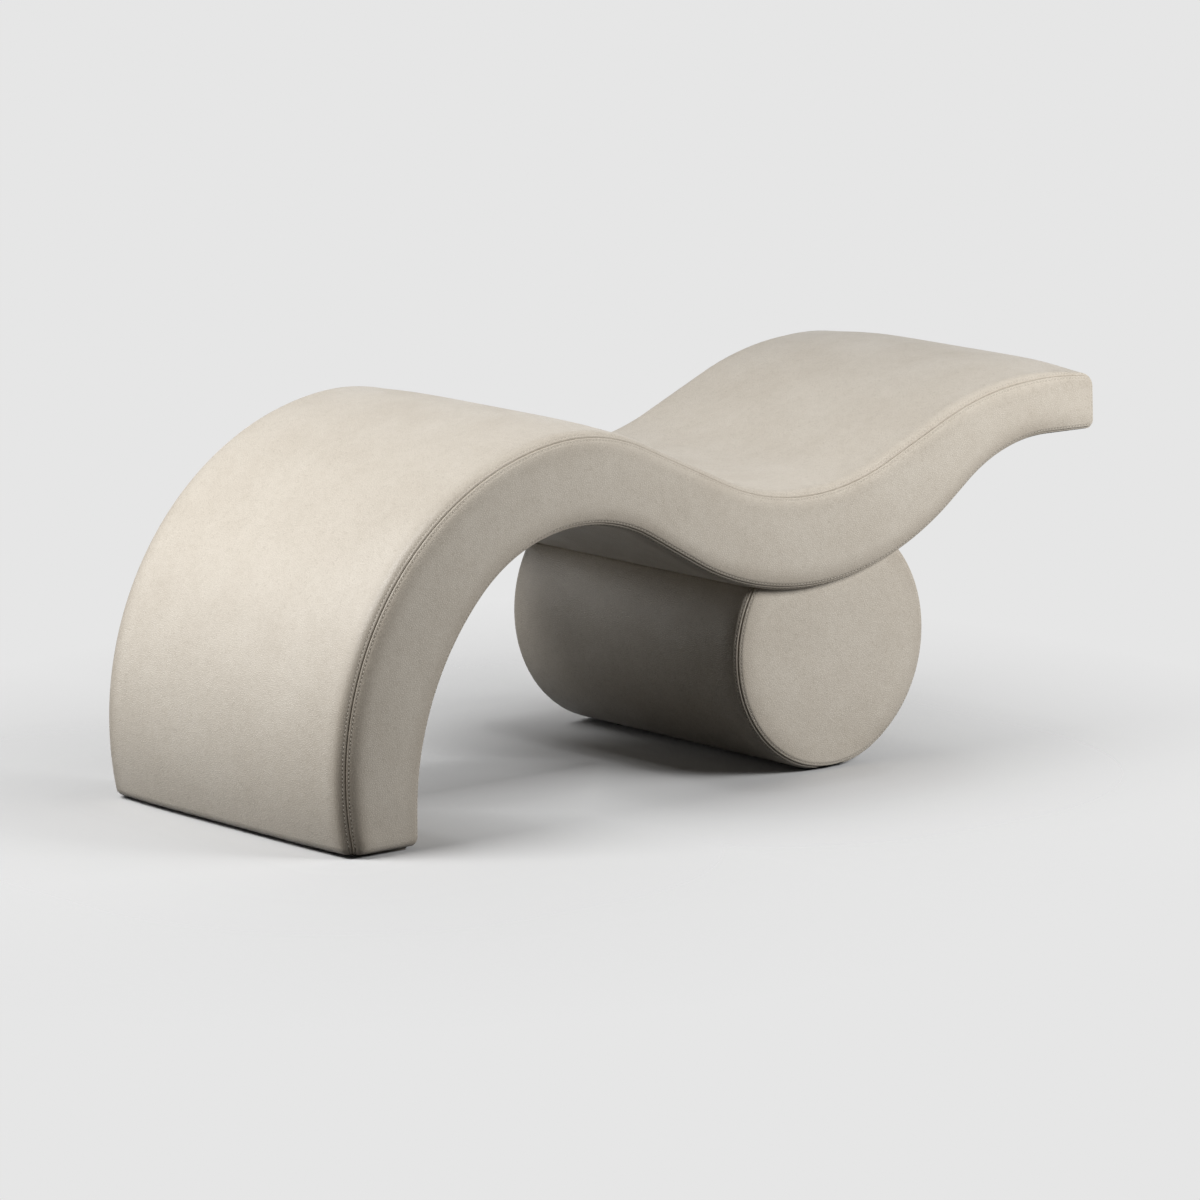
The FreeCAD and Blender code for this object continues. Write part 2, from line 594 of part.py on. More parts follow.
# Drum base: everything is cut to the saddle above and to the floor gap below; the board
# below lies in a pocket between the end foams
pocket_half = "(curve.board_half + sizes.layer_gap)"
pocket_x = (f"sizes.drum_x - {pocket_half}", f"sizes.drum_x + {pocket_half}")
pocket_y = ("-(curve.disc_half + sizes.layer_gap)", "curve.disc_half + sizes.layer_gap")
pocket_z = ("-sizes.drum_radius", "curve.base_board_top + sizes.layer_gap")
pocket = block("board_pocket", pocket_x, pocket_y, pocket_z)
floor = block("floor_range", LONG, (f"-{WIDE}", WIDE), ("-sizes.drum_radius", "sizes.floor_gap"))
wave_ends = ("sizes.floor_gap", "sizes.tip_x")
saddle = wave_pad("saddle_cut", (TOP, "0"), (UNDER, "-sizes.saddle_gap"), *wave_ends, WIDE)
board_back = "-(sizes.saddle_gap + sizes.saddle_ply)"
seat = wave_pad("seat_cut", (TOP, "0"), (UNDER, f"{board_back} - sizes.layer_gap"), *wave_ends, WIDE)
skin_cut = fuse("skin_cut", [saddle, pocket, floor])

stringer_outer = "(sqrt(curve.disc_radius^2 - (sizes.stringer_width / 2)^2) - sizes.layer_gap)"
FIRST_STRINGER = 157.5
STRINGER_TURN = 45
STRINGERS = 6
stringers, notches = [], []
for angle in [FIRST_STRINGER + STRINGER_TURN * step for step in range(STRINGERS)]:
    for name, slack, reach, items in (("stringer", "0", "0", stringers),
                                      ("notch", "sizes.layer_gap", "sizes.stringer_depth", notches)):
        half = f"(sizes.stringer_width / 2 + {slack})"
        inner = f"({stringer_outer} - sizes.stringer_depth - {slack})"
        box = block(name, (f"-{half}", half), ("-curve.disc_half", "curve.disc_half"),
                    (inner, f"{stringer_outer} + {reach}"))
        box.Placement.Rotation = FreeCAD.Rotation(FreeCAD.Vector(0, 1, 0), 90 - angle)
        bind(box, Placement__Base__x=f"sizes.drum_x + {inner} * cos({angle} deg) - {half} * sin({angle} deg)",
             Placement__Base__z=f"sizes.drum_radius + {inner} * sin({angle} deg) + {half} * cos({angle} deg)")
        items.append(box)
nodes.append(group("base_stringers", stringers))
disc_cut = fuse("disc_cut", [seat, pocket] + notches)
for word, shift in (("left", 1), ("centre", 0), ("right", -1)):
    place = f"{shift} * (curve.disc_half - sizes.rib_ply / 2)"
    disc = drum_pad(f"disc_{word}", "curve.disc_radius", "sizes.rib_ply", shift=place)
    nodes.append(cut(f"base_disc_{word}", disc, disc_cut))

inside = drum_pad("drum_inside", "curve.disc_radius", "2 * curve.disc_half")
saddle_sheet = wave_pad("saddle_sheet", (UNDER, "-sizes.saddle_gap"), (UNDER, board_back), *wave_ends, WIDE)
nodes.append(cut("saddle_board", common("saddle_blank", saddle_sheet, inside), bolt_holes))

skin = cut("skin_ring", drum_pad("skin_outer", "curve.drum_skin", "2 * curve.disc_half"),
           drum_pad("skin_inner", "curve.drum_skin - sizes.drum_ply", WIDE))
nodes.append(cut("base_barrel", skin, skin_cut))
drum_foam = drum_pad("drum_foam_form", "sizes.drum_radius - curve.foam_level",
                     "curve.drum_length - 2 * curve.foam_level", "sizes.drum_roll - curve.foam_level")
wrap_range = cut("wrap_ring", drum_pad("wrap_outer", "sizes.drum_radius", "2 * curve.disc_half"),
                 drum_pad("wrap_inner", "curve.drum_skin + sizes.layer_gap", WIDE))
nodes.append(cut("base_foam_wrap", common("wrap_foam", drum_foam, wrap_range), skin_cut))
drum_form = drum_pad("drum_form", "sizes.drum_radius", "curve.drum_length", "sizes.drum_roll")
drum_lining = drum_pad("drum_lining", "sizes.drum_radius - sizes.leather",
                       "curve.drum_length - 2 * sizes.leather", "sizes.drum_roll - sizes.leather")
drum_shell = cut("drum_shell", cut("drum_cover", drum_form, drum_lining), skin_cut)
for word, side in SIDES:
    end_y = across(side, "curve.disc_half + sizes.layer_gap", WIDE)
    foam_range = block(f"end_foam_range_{word}", LONG, end_y, TALL)
    end_foam = common(f"end_foam_{word}", drum_foam, foam_range)
    nodes.append(cut(f"base_foam_end_{word}", end_foam, skin_cut))
    cover_range = block(f"end_cover_range_{word}", LONG, across(side, "curve.drum_end_seam", WIDE), TALL)
    nodes.append(common(f"base_cover_end_{word}", drum_shell, cover_range))
barrel_range = block("barrel_range", LONG, ("-curve.drum_end_seam", "curve.drum_end_seam"), TALL)
tuck_range = block("tuck_range", pocket_x, (f"-{WIDE}", WIDE), pocket_z)
nodes.append(cut("base_cover_barrel", common("barrel_sheet", drum_shell, barrel_range), tuck_range))

board_x = ("sizes.drum_x - curve.board_half", "sizes.drum_x + curve.board_half")
board_y = ("-curve.disc_half", "curve.disc_half")
board = block("board_blank", board_x, board_y, ("curve.board_level", "curve.base_board_top"))
nodes.append(cut("base_board", board, insert_holes))
felt = block("base_felt", board_x, board_y, felt_z)
nodes.append(cut("base_dust_cover", felt, stem_holes))

# Bolts that hold the wave on the drum, with washers, spacer sleeves and nuts
washer_low = "curve.saddle_bottom - sizes.layer_gap - sizes.washer_height"
head_low = f"{washer_low} - sizes.bolt_head_height"
bolts, washers, sleeves, nuts = [], [], [], []
for y in BOLTS:
    head = doc.addObject("Part::Prism", "bolt_head")
    head.Polygon = 6
    bind(head, Circumradius="sizes.bolt_head / sqrt(3)", Height="sizes.bolt_head_height",
         Placement__Base__x="curve.seat_x", Placement__Base__y=y, Placement__Base__z=head_low)
    shank = upright("shank", "sizes.bolt_size", f"curve.block_top + sizes.bolt_end - ({head_low})",
                    "curve.seat_x", y, head_low)
    bolts.append(fuse("bolt", [head, shank]))
    washers.append(upright("washer", "sizes.washer_size", "sizes.washer_height",
                           "curve.seat_x", y, washer_low))
    sleeves.append(upright("sleeve", "sizes.sleeve_size", "curve.sleeve_length",
                           "curve.seat_x", y, "curve.saddle_top + sizes.layer_gap"))
    flange = upright("flange", "sizes.nut_flange", "sizes.washer_height",
                     "curve.seat_x", y, "curve.block_top")
    nut = doc.addObject("Part::Prism", "nut_hex")
    nut.Polygon = 6
    bind(nut, Circumradius="sizes.bolt_head / sqrt(3)", Height="sizes.nut_height",
         Placement__Base__x="curve.seat_x", Placement__Base__y=y, Placement__Base__z="curve.block_top")
    nuts.append(fuse("nut", [flange, nut]))
nodes.append(group("base_bolts", bolts))
nodes.append(cut("bolt_washers", group("washer_discs", washers), bolt_holes))
nodes.append(cut("spacer_sleeves", group("sleeve_rods", sleeves), bolt_holes))
nodes.append(cut("bolt_nuts", group("nut_blanks", nuts), bolt_holes))

# Levelling feet: each is a threaded stem on a pad, screwed into an insert in its board
insert_top = "curve.board_level + sizes.insert_height"
inserts = foot_rods("insert", "sizes.insert_size", "curve.board_level", insert_top)
nodes.append(cut("foot_inserts", group("insert_rods", inserts), stem_holes))
pad_height = "sizes.floor_gap - sizes.layer_gap"
for name, (x, y) in FEET.items():
    body = new_body(f"{name}_pad")
    sketch = new_sketch(body, "Circle", "XY_Plane")
    middle = FreeCAD.Vector(number(x), number(y), 0)
    circle = sketch.addGeometry(Part.Circle(middle, FreeCAD.Vector(0, 0, 1), number("sizes.foot_size / 2")))
    tie(sketch, "DistanceX", -1, 1, circle, 3, to=x)
    tie(sketch, "DistanceY", -1, 1, circle, 3, to=y)
    tie(sketch, "Radius", circle, to="sizes.foot_size / 2")
    feature = body.newObject("PartDesign::Pad", "Pad")
    feature.Profile = sketch
    bind(feature, Length=pad_height)
    doc.recompute()
    rims = [edge for edge in feature.Shape.Edges if edge.isClosed() and edge.BoundBox.ZMax < sizes.layer_gap]
    round_edges(body, rims, "sizes.pad_round")
    nodes.append(body)
    stem = upright(f"{name}_stem", "sizes.stem_size", "sizes.stem_length", x, y, pad_height)
    stem.Label = stem.Name
    nodes.append(stem)

doc.recompute()
for item in doc.Objects:
    if "Invalid" in item.State or "Error" in item.State:
        raise RuntimeError(f"{item.Label} is {item.State}")
for node in nodes:
    if node.Shape.isNull() or not node.Shape.isValid() or not node.Shape.Solids:
        raise RuntimeError(f"{node.Label} has no valid solid")

os.makedirs("parts", exist_ok=True)
for node in nodes:
    node.Shape.exportStep(f"parts/{node.Label}.step")
    print(node.Label, len(node.Shape.Solids), round(node.Shape.Volume / 1000, 1))
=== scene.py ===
import json
import math

import bmesh
import bpy
import numpy as np
from mathutils import Matrix, Vector


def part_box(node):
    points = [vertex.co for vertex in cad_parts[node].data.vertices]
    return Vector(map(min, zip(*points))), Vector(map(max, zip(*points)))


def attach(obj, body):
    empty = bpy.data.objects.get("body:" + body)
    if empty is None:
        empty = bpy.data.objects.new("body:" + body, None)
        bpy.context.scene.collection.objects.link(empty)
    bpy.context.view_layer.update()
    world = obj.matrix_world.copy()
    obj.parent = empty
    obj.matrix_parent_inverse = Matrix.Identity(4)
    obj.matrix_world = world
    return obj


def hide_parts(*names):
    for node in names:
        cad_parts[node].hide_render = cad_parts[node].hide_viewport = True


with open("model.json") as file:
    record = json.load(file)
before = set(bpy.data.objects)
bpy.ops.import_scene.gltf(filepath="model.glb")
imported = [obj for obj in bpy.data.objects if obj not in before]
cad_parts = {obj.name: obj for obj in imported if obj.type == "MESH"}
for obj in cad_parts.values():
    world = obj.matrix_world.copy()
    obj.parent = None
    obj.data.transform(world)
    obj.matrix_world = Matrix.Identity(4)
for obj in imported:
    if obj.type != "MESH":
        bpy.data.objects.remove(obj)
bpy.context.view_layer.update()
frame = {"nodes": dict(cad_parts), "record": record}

scene = bpy.context.scene
scene.view_settings.view_transform = "Standard"

# Frame and fittings: birch plywood ribs, decks, discs and boards, black felt dust covers
# stapled under the foot and the drum, zinc-plated bolts, nuts and inserts, and black nylon
# levelling feet. All keep the shapes of their solids.
PLY_LIGHT = (0.560, 0.385, 0.220, 1)
PLY_DARK = (0.420, 0.262, 0.132, 1)
PLY_STRETCH = (1, 9, 9)
FELT_LIGHT = (0.026, 0.025, 0.024, 1)
FELT_DARK = (0.009, 0.009, 0.009, 1)
ZINC_LIGHT = (0.640, 0.645, 0.650, 1)
ZINC_DARK = (0.480, 0.490, 0.505, 1)
NYLON_LIGHT = (0.022, 0.022, 0.023, 1)
NYLON_DARK = (0.013, 0.013, 0.014, 1)
CLOUDS_FROM = 0.3
CLOUDS_TO = 0.7


def node(tree, kind, links=None, **values):
    """Add one node, set its values and link or set its inputs."""
    item = tree.nodes.new(kind)
    for name, value in values.items():
        setattr(item, name, value)
    for name, source in (links or {}).items():
        if isinstance(source, bpy.types.NodeSocket):
            tree.links.new(source, item.inputs[name])
        else:
            item.inputs[name].default_value = source
    return item


def mixed_color(tree, factor, first, second, blend="MIX"):
    """Two colours mixed by a factor; a Mix node takes them on its inputs 6 and 7."""
    links = {0: factor, 6: first, 7: second}
    return node(tree, "ShaderNodeMix", links, data_type="RGBA", blend_type=blend).outputs[2]


def new_material(name):
    """A node material with its surface shader and object coordinates."""
    material = bpy.data.materials.new(name)
    material.use_nodes = True
    tree = material.node_tree
    surface = tree.nodes["Principled BSDF"]
    place = tree.nodes.new("ShaderNodeTexCoord").outputs["Object"]
    return material, tree, surface, place


# Every finish on the bed varies a little from place to place, in tone and in gloss.
uneven = bpy.data.node_groups.new("uneven_finish", "ShaderNodeTree")
for socket, kind in (("Place", "Vector"), ("Light", "Color"), ("Dark", "Color"),
                     ("Scale", "Float"), ("Smoothest", "Float"), ("Roughest", "Float")):
    uneven.interface.new_socket(socket, in_out="INPUT", socket_type=f"NodeSocket{kind}")
for socket, kind in (("Color", "Color"), ("Roughness", "Float"), ("Height", "Float")):
    uneven.interface.new_socket(socket, in_out="OUTPUT", socket_type=f"NodeSocket{kind}")
given = uneven.nodes.new("NodeGroupInput").outputs
clouds = node(uneven, "ShaderNodeTexNoise", {"Vector": given["Place"], "Scale": given["Scale"],
                                             "Detail": 6.0, "Roughness": 0.62}).outputs["Fac"]
spread = node(uneven, "ShaderNodeMapRange", {"Value": clouds, "From Min": CLOUDS_FROM, "From Max": CLOUDS_TO})
tone = mixed_color(uneven, spread.outputs["Result"], given["Light"], given["Dark"])
gloss = node(uneven, "ShaderNodeMapRange", {"Value": clouds, "From Min": CLOUDS_FROM, "From Max": CLOUDS_TO,
                                            "To Min": given["Smoothest"], "To Max": given["Roughest"]})
node(uneven, "NodeGroupOutput", {"Color": tone, "Roughness": gloss.outputs["Result"], "Height": clouds})


def uneven_finish(tree, place, light, dark, scale, smoothest, roughest):
    """The shared variation with one finish's own colours, scale and gloss."""
    links = {"Place": place, "Light": light, "Dark": dark, "Scale": scale,
             "Smoothest": smoothest, "Roughest": roughest}
    return node(tree, "ShaderNodeGroup", links, node_tree=uneven).outputs


def plain_material(name, light, dark, scale, smoothest, roughest, bump, stretch=(1, 1, 1)):
    """A finish with uneven tone and gloss and a relief of the same grain."""
    material, tree, surface, place = new_material(name)
    grain = node(tree, "ShaderNodeMapping", {"Vector": place, "Scale": stretch}).outputs["Vector"]
    finish = uneven_finish(tree, grain, light, dark, scale, smoothest, roughest)
    relief = node(tree, "ShaderNodeBump", {"Height": finish["Height"], "Strength": 0.4, "Distance": bump})
    tree.links.new(finish["Color"], surface.inputs["Base Color"])
    tree.links.new(finish["Roughness"], surface.inputs["Roughness"])
    tree.links.new(relief.outputs["Normal"], surface.inputs["Normal"])
    return material, surface


plywood, _ = plain_material("plywood", PLY_LIGHT, PLY_DARK, scale=9.0,
                            smoothest=0.55, roughest=0.75, bump=0.0006, stretch=PLY_STRETCH)
felt, _ = plain_material("felt", FELT_LIGHT, FELT_DARK, scale=700.0,
                         smoothest=0.90, roughest=1.00, bump=0.0008)
zinc, surface = plain_material("zinc_steel", ZINC_LIGHT, ZINC_DARK, scale=90.0,
                               smoothest=0.26, roughest=0.42, bump=0.0001)
surface.inputs["Metallic"].default_value = 1.0
nylon, _ = plain_material("nylon", NYLON_LIGHT, NYLON_DARK, scale=400.0,
                          smoothest=0.38, roughest=0.55, bump=0.0002)
finishes = {"plywood": plywood, "felt": felt, "zinc_steel": zinc, "nylon": nylon}
for part in frame["record"]["subparts"]:
    if part["material_slot"] in finishes:
        solid = frame["nodes"][part["node"]]
        if not solid.material_slots:
            solid.data.materials.append(None)
        solid.material_slots[0].material = finishes[part["material_slot"]]

# Outline of the wave: the run of the leather in side view, from the foot of the leg over
# the lying surface, round the head's end and back along the underside to the foot.
# Each bend is a circle given by its centre's X and Z and its radius.
HEEL = (-0.3488, 0.1440, 0.5682)
KNEE = (-0.3690, 0.3147, 0.3963)
DIP = (0.1880, 1.0234, 0.4794)
HEAD = (0.7780, 0.0693, 0.6307)
LEG = (-0.2136, 0.0700, 0.5214)
ARCH = (-0.3570, 0.2100, 0.3210)
SEAT = (0.1960, 0.9397, 0.5857)
NECK = (0.7980, 0.2410, 0.3350)
FLOOR_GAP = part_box("cover_top")[0].z
TIP_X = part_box("cover_top")[1].x
TIP_ROLL = 0.034
TIP_UNDER_ROLL = 0.018
HEM_ROLL = 0.014
ARC_POINTS = 91
RUN_STEPS = (112, 70, 74, 14)
CORNER_STEPS = 8
END_STEPS = 6


def arc(bend, start, stop):
    """Points on one bend between two directions in degrees."""
    turn = np.radians(np.linspace(start, stop, ARC_POINTS))
    return np.column_stack([bend[0] + bend[2] * np.cos(turn), bend[1] + bend[2] * np.sin(turn)])


def slope(crest, hollow):
    """Degrees by which the straight run between a crest and a hollow leans."""
    across, up = abs(hollow[0] - crest[0]), hollow[1] - crest[1]
    return math.degrees(math.atan2(across, up)
                        - math.acos((crest[2] + hollow[2]) / math.hypot(across, up)))


def handover(wide, tight):
    """Direction in which a wide bend touches the tighter one inside it."""
    return math.degrees(math.atan2(tight[1] - wide[1], tight[0] - wide[0]))


def spaced(points, steps):
    """The same line with evenly spaced points."""
    along = np.concatenate([[0], np.cumsum(np.hypot(*np.diff(points, axis=0).T))])
    places = np.linspace(0, along[-1], steps + 1)
    return np.column_stack([np.interp(places, along, points[:, axis]) for axis in (0, 1)])


def ogee(crest, hollow, falls):
    """Half a wave between a crest and a hollow."""
    lean = slope(crest, hollow) * (1 if falls else -1)
    halves = [arc(crest, 90, 90 - lean), arc(hollow, 270 - lean, 270)]
    return np.vstack(halves) if falls else np.vstack(halves)[::-1]


foot = FLOOR_GAP + HEM_ROLL
heel_start = 180 - math.degrees(math.asin((foot - HEEL[1]) / HEEL[2]))
tip_corner = (TIP_X - TIP_ROLL,
              HEAD[1] + math.sqrt((HEAD[2] - TIP_ROLL) ** 2 - (TIP_X - TIP_ROLL - HEAD[0]) ** 2),
              TIP_ROLL)
under_corner = (TIP_X - TIP_UNDER_ROLL, NECK[1] + NECK[2] + TIP_UNDER_ROLL, TIP_UNDER_ROLL)
tip_touch = handover(HEAD, tip_corner)
upper_runs = [np.vstack([arc(HEEL, heel_start, handover(HEEL, KNEE)),
                         arc(KNEE, handover(HEEL, KNEE), 90)]),
              ogee(KNEE, DIP, True),
              ogee(HEAD, DIP, False),
              arc(HEAD, 90, tip_touch)]
lower_runs = [np.vstack([[[LEG[0] - LEG[2], foot]],
                         arc(LEG, 180, handover(LEG, ARCH)),
                         arc(ARCH, handover(LEG, ARCH), 90)]),
              ogee(ARCH, SEAT, True),
              ogee(NECK, SEAT, False),
              np.array([[NECK[0], NECK[1] + NECK[2]], [under_corner[0], NECK[1] + NECK[2]]])]
end_runs = [arc(tip_corner, tip_touch, 0),
            np.array([[TIP_X, tip_corner[1]], [TIP_X, under_corner[1]]]),
            arc(under_corner, 0, -90)]
runs = [spaced(run, steps) for run, steps in zip(upper_runs, RUN_STEPS)]
runs += [spaced(run, steps) for run, steps in zip(end_runs, (CORNER_STEPS, END_STEPS, CORNER_STEPS))]
runs += [spaced(run, steps)[::-1] for run, steps in zip(lower_runs[::-1], RUN_STEPS[::-1])]
outline = np.vstack([run[:-1] for run in runs] + [runs[-1][-1:]])
along = np.concatenate([[0], np.cumsum(np.hypot(*np.diff(outline, axis=0).T))])
tangent = np.gradient(outline, along, axis=0)
tangent /= np.linalg.norm(tangent, axis=1)[:, None]
outward = np.column_stack([-tangent[:, 1], tangent[:, 0]])
TOP_END = sum(RUN_STEPS)
CROSS_SEAM = TOP_END + CORNER_STEPS + END_STEPS + CORNER_STEPS // 2
UNDER_START = TOP_END + END_STEPS + 2 * CORNER_STEPS
LAST = len(outline) - 1

# Leather: smooth greige upholstery hide with a fine pebble, cloudy tone and a satin
# surface. Shade is painted into its colour beside a seam, in the seam's fold and at the
# needle holes, the more the further the thread draws the seam in.
LEATHER_LIGHT = (0.614, 0.563, 0.488, 1)
LEATHER_DARK = (0.556, 0.504, 0.431, 1)
PORE_SHADE = (0.810, 0.800, 0.785, 1)
FLECK_SHADE = (0.966, 0.963, 0.958, 1)
# Shades painted into the colour: in the seam's fold, beside the seam and in the needle holes.
FOLD_PAINTED_SHADE = (0.450, 0.420, 0.390, 1)
PINCH_PAINTED_SHADE = (0.600, 0.572, 0.540, 1)
HOLE_PAINTED_SHADE = (0.300, 0.275, 0.250, 1)
PORE_EDGE = (0.0, 0.12)
FLECK_EDGE = (0.35, 0.60)
FOLD_EDGE = (0.0004, 0.0020)
PINCH_EDGE = (0.002, 0.050)
HOLE_EDGE = (0.0005, 0.0015)
STITCH_ROW = 0.0066


def calculated(tree, operation, *values):
    """The value that one Math node gives."""
    return node(tree, "ShaderNodeMath", dict(enumerate(values)), operation=operation).outputs["Value"]


def tinted(tree, color, shade, factor):
    """Multiply a colour by a shade where the factor is one."""
    return mixed_color(tree, factor, color, shade, blend="MULTIPLY")


def near(tree, value, edge):
    """One up to the first value of an edge, falling smoothly to zero at its second."""
    links = {"Value": value, "From Min": edge[0], "From Max": edge[1], "To Min": 1.0, "To Max": 0.0}
    return node(tree, "ShaderNodeMapRange", links, interpolation_type="SMOOTHSTEP").outputs["Result"]


leather, tree, surface, place = new_material("leather")
surface.inputs["Specular IOR Level"].default_value = 0.35
hide = uneven_finish(tree, place, LEATHER_LIGHT, LEATHER_DARK, scale=7.0, smoothest=0.34, roughest=0.46)
pebble = node(tree, "ShaderNodeTexVoronoi", {"Vector": place, "Scale": 280.0},
              feature="DISTANCE_TO_EDGE").outputs["Distance"]
flecks = node(tree, "ShaderNodeTexNoise", {"Vector": place, "Scale": 70.0, "Detail": 4.0}).outputs["Fac"]
from_seam = node(tree, "ShaderNodeAttribute", attribute_name="from_seam").outputs["Fac"]
drawn_in_and_shade = node(tree, "ShaderNodeAttribute", attribute_name="drawn_in_and_shade").outputs["Fac"]
from_row = calculated(tree, "ABSOLUTE", calculated(tree, "SUBTRACT", from_seam, STITCH_ROW))
color = tinted(tree, hide["Color"], PORE_SHADE, near(tree, pebble, PORE_EDGE))
color = tinted(tree, color, FLECK_SHADE, near(tree, flecks, FLECK_EDGE))
# Painted shade beside the seam, in its fold and at the needle holes, weighted by how far the seam is drawn
# in.
for shade, distance, edge in ((PINCH_PAINTED_SHADE, from_seam, PINCH_EDGE),
                              (FOLD_PAINTED_SHADE, from_seam, FOLD_EDGE),
                              (HOLE_PAINTED_SHADE, from_row, HOLE_EDGE)):
    painted_shade_mask = calculated(tree, "MULTIPLY", near(tree, distance, edge), drawn_in_and_shade)
    color = tinted(tree, color, shade, painted_shade_mask)
tree.links.new(color, surface.inputs["Base Color"])
tree.links.new(hide["Roughness"], surface.inputs["Roughness"])
waves = node(tree, "ShaderNodeTexNoise", {"Vector": place, "Scale": 26.0, "Detail": 2.0}).outputs["Fac"]
soft = node(tree, "ShaderNodeBump", {"Height": waves, "Strength": 0.12, "Distance": 0.006})
grain = node(tree, "ShaderNodeBump", {"Height": pebble, "Strength": 0.60, "Distance": 0.0011,
                                      "Normal": soft.outputs["Normal"]})
tree.links.new(grain.outputs["Normal"], surface.inputs["Normal"])

# Wave covers: a wrap over the lying surface and the head's end, another along the
# underside, and two S-shaped side panels sewn to both on the rolled edges.
# Foam behind the leather swells each panel between its seams.
HALF_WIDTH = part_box("cover_side_left")[1].y
CROWN = 0.005
CROWN_POWER = 7
HEAD_LIFT = 0.006
HEAD_LIFT_RUN = 0.30
TOP_ROLL = 0.034
END_ROLL = 0.013
UNDER_ROLL = 0.018
ROLL_FADE = 0.15
SEAM_TURN = math.pi / 4
SEAM_RINGS = (0.0, 0.0008, 0.0016, 0.0026, 0.0040, 0.0053, STITCH_ROW, 0.0078)
ROLL_RINGS = (0.25, 0.5, 0.75, 1.0)
FLAT_STEPS = 18
PINCH_DEPTH = 0.0050
PINCH_WIDTH = 0.016
FOLD_DEPTH = 0.0020
FOLD_WIDTH = 0.0014
STITCH_RING = SEAM_RINGS.index(STITCH_ROW)
STITCH_DIP = 0.0008
STITCH_DIP_WIDTH = 0.0014
# How far the seam is drawn in along the outline; this also sets how strong the painted shade beside the seam
# is.
LEG_DRAWN = 1.0
TOP_DRAWN = 0.20
UNDER_DRAWN = 0.55
LEG_DRAWN_SHARE = 0.1
TOP_DRAWN_SHARE = 0.8
SWELL_FRAMES = 20
SWELL_PRESSURE = 4
TOP_SWELL = 0.003
UNDER_SWELL = 0.002
SIDE_SWELL = 0.002
TOP_FOAM = 0.030
UNDER_FOAM = 0.009
SIDE_FOAM = 0.012
PIN_REACH = 0.010
FOOT_HOLD = 0.040
SKIN = 0.0060
HEM_TURNS = (0, 30, 60, 90)
HEM_WIDTH = 0.012
MERGE_GAP = 1e-5

knots = [0, along[TOP_END] - ROLL_FADE, along[TOP_END],
         along[UNDER_START], along[UNDER_START] + ROLL_FADE, along[-1]]
roll = np.interp(along, knots, [TOP_ROLL, TOP_ROLL, END_ROLL, END_ROLL, UNDER_ROLL, UNDER_ROLL])
crown = np.interp(along, knots, [CROWN, CROWN, CROWN, 0, 0, 0])
lift = np.interp(along, [along[TOP_END] - HEAD_LIFT_RUN, along[TOP_END], along[CROSS_SEAM]],
                 [0, HEAD_LIFT, 0])
leg_top = along[RUN_STEPS[0]]
draw = np.interp(along, [LEG_DRAWN_SHARE * leg_top, TOP_DRAWN_SHARE * leg_top, *knots[2:]],
                 [LEG_DRAWN, TOP_DRAWN, TOP_DRAWN, TOP_DRAWN, UNDER_DRAWN, UNDER_DRAWN])
rings = len(SEAM_RINGS) + len(ROLL_RINGS)
stitch_rows = {"left": [], "right": []}


def ring_distance(ring, radius):
    """Distance from the seam of one ring on a rolled edge of that radius."""
    if ring < len(SEAM_RINGS):
        return SEAM_RINGS[ring]
    share = ROLL_RINGS[ring - len(SEAM_RINGS)]
    return SEAM_RINGS[-1] + share * (radius * SEAM_TURN - SEAM_RINGS[-1])


def below_outline(row, depth):
    """Place in side view at a depth under the outline; the end rows are slid to the foot's plane."""
    place = outline[row] - outward[row] * depth
    if row in (0, LAST):
        place = place + tangent[row] * (foot - place[1]) / tangent[row][1]
    return place


def on_roll(row, turn, side):
    """Point and outward direction on the rolled edge, turned from the wrap to the side."""
    y = HALF_WIDTH - roll[row] * (1 - math.sin(turn))
    x, z = below_outline(row, crown[row] + roll[row] * (1 - math.cos(turn)))
    nx, nz = outward[row] * math.cos(turn)
    return Vector((x, side * y, z)), Vector((nx, side * math.sin(turn), nz))


def on_wrap(row, y):
    """Point and outward direction on the crowned middle of the wrap."""
    share = abs(y) / (HALF_WIDTH - roll[row])
    fallen = share ** CROWN_POWER * (CROWN_POWER + 1 - CROWN_POWER * share)
    x, z = below_outline(row, crown[row] * fallen - lift[row] * (1 - fallen))
    nx, nz = outward[row]
    return Vector((x, y, z)), Vector((nx, 0, nz))


def new_panel():
    """An empty panel; its points know their seam's distance and draw, and their outward side."""
    bm = bmesh.new()
    bm.verts.layers.float.new("from_seam")
    bm.verts.layers.float.new("drawn_in_and_shade")
    bm.verts.layers.float_vector.new("outward")
    return bm


def lay_sheet(bm, rows, columns, place):
    """A sheet of rows by columns with each point put in its place; returns its columns."""
    made = bmesh.ops.create_grid(bm, x_segments=columns - 1, y_segments=rows - 1, size=0.5)["verts"]
    seam = bm.verts.layers.float["from_seam"]
    drawn = bm.verts.layers.float["drawn_in_and_shade"]
    normal = bm.verts.layers.float_vector["outward"]
    for index, vert in enumerate(made):
        vert.co, vert[normal], vert[seam], vert[drawn] = place(index // columns, index % columns)
    return [made[column::columns] for column in range(columns)]


def wrap_panel(first, last):
    """The wrap between two rows of the outline, and its two stitch lines."""
    bm = new_panel()
    columns = 2 * (rings + FLAT_STEPS) - 1
    middle = columns // 2

    def place(step, column):
        row = first + step
        ring = min(column, columns - 1 - column)
        if ring < rings:
            side = -1 if column < middle else 1
            distance = ring_distance(ring, roll[row])
            point, normal = on_roll(row, SEAM_TURN - distance / roll[row], side)
        else:
            flat = HALF_WIDTH - roll[row]
            y = (column - middle) / FLAT_STEPS * flat
            distance = flat - abs(y) + roll[row] * SEAM_TURN
            point, normal = on_wrap(row, y)
        cross = abs(along[row] - along[CROSS_SEAM])
        return point, normal, min(distance, cross), draw[row]

    laid = lay_sheet(bm, last - first + 1, columns, place)
    return bm, {"right": laid[STITCH_RING], "left": laid[-1 - STITCH_RING]}


